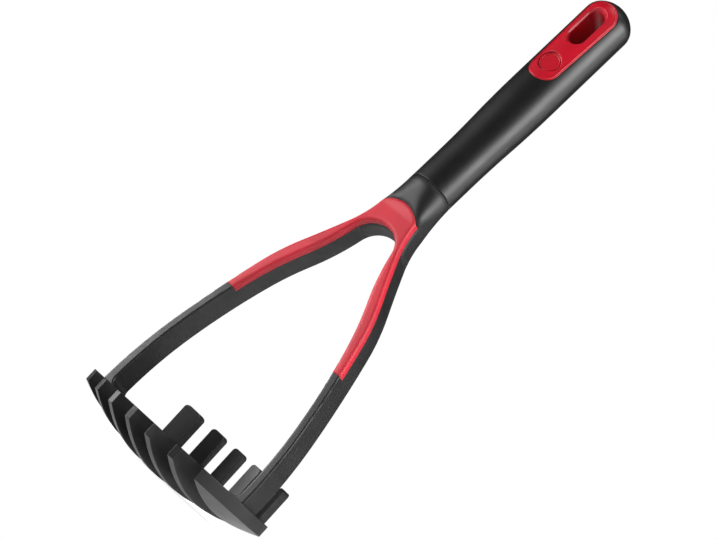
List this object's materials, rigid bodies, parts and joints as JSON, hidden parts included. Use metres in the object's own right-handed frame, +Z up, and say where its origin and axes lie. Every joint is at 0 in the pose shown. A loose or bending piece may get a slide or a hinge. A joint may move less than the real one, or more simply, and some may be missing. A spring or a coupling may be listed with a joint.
{
  "type": "potato masher",
  "caption": "Upright hand masher: a domed head of parallel blades on a bowed two-arm fork, a soft red grip at the neck, and a round handle with a hanging slot.",
  "frame": {"origin": "on the floor plane under the middle of the head, at the height of the dome's lowest point", "axes": "+Z up along the tool from the head to the handle, X from the left arm to the right arm, -Y towards the front that carries the red grip and insert"},
  "size_m": [0.0996, 0.1111, 0.3005],
  "materials": {
    "nylon": "matt black nylon with a faint grain",
    "grip": "soft crimson overmould, low sheen",
    "sleeve": "satin black soft-touch sleeve",
    "insert": "satin crimson moulding"
  },
  "bodies": {
    "root": {"neck": "nylon", "arm_left": "nylon", "arm_right": "nylon", "blade_1": "nylon", "blade_2": "nylon", "blade_3": "nylon", "blade_4": "nylon", "blade_5": "nylon", "blade_6": "nylon", "blade_7": "nylon", "rear_rail": "nylon", "cross_rail": "nylon", "tongue_1": "nylon", "tongue_2": "nylon", "tongue_3": "nylon", "tongue_4": "nylon", "tongue_5": "nylon", "tongue_6": "nylon", "fork_grip": "grip", "handle_sleeve": "sleeve", "hang_insert": "insert"}
  },
  "joints": []
}
